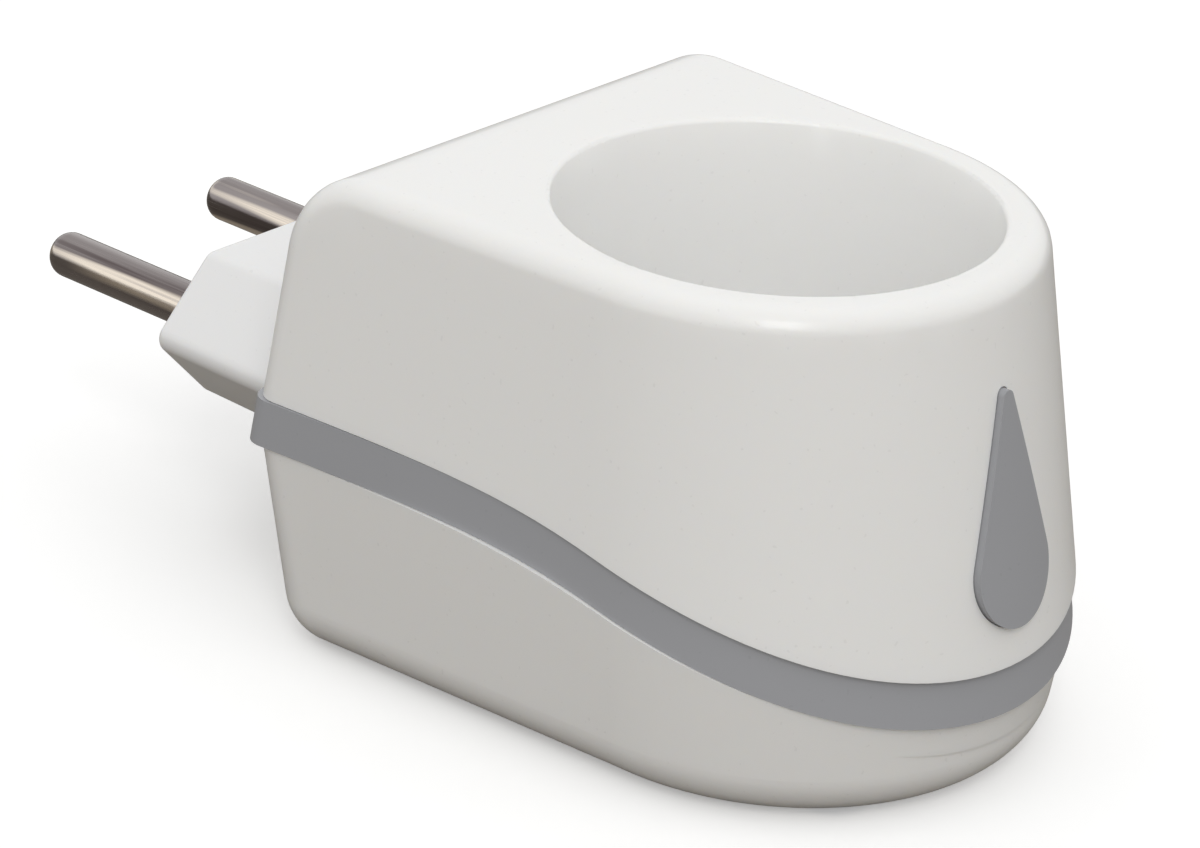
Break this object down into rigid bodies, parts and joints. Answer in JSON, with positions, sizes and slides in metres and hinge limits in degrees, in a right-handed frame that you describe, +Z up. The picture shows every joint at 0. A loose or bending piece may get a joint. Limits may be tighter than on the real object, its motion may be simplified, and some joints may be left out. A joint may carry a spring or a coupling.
{
  "type": "plug-in wax melt warmer",
  "caption": "Plug-in wax melt warmer: a white D-shaped housing with a round open wax cup on top, a wavy grey band around it and a flat wall plug with bare round pins behind.",
  "frame": {"origin": "midway between the two pins on the end face of the plug", "axes": "+Y out along the pins into the socket, -Y towards the round nose of the housing, +Z up towards the mouth of the wax cup, +X to the right seen from the nose"},
  "size_m": [0.0506, 0.0976, 0.0421],
  "materials": {
    "white_housing": "smooth gloss, off-white",
    "grey_trim": "satin, mid grey",
    "white_plug": "smooth gloss, white",
    "pin_metal": "nickel plate, drawn along the pin",
    "tinned_metal": "tinned, satin",
    "dish_metal": "turned, satin",
    "silicone": "matt, translucent grey",
    "film": "amber film",
    "electrode_metal": "rolled sheet",
    "ceramic": "fired ceramic, dark grey",
    "mica": "pressed mica sheet",
    "spring_steel": "rolled spring strip",
    "black_plastic": "heat-proof moulding, black",
    "screw_steel": "zinc plated",
    "lead_sleeve": "silicone insulation, white",
    "fuse_case": "tinned case",
    "glass_fibre": "woven glass fibre"
  },
  "bodies": {
    "root": {"upper_housing": "white_housing", "lower_housing": "white_housing", "grey_band": "grey_trim", "nose_drop": "grey_trim", "plug_body": "white_plug", "left_pin": "pin_metal", "right_pin": "pin_metal", "left_crimp": "tinned_metal", "right_crimp": "tinned_metal", "heat_dish": "dish_metal", "dish_seal": "silicone", "insulating_film": "film", "upper_electrode": "electrode_metal", "heating_pellet": "ceramic", "lower_electrode": "electrode_metal", "mica_pad": "mica", "leaf_spring": "spring_steel", "heater_carrier": "black_plastic", "carrier_screws": "screw_steel", "housing_screws": "screw_steel", "left_lead": "lead_sleeve", "right_lead": "lead_sleeve", "thermal_fuse": "fuse_case", "fuse_sleeve": "glass_fibre", "fuse_lead": "lead_sleeve"}
  },
  "joints": []
}
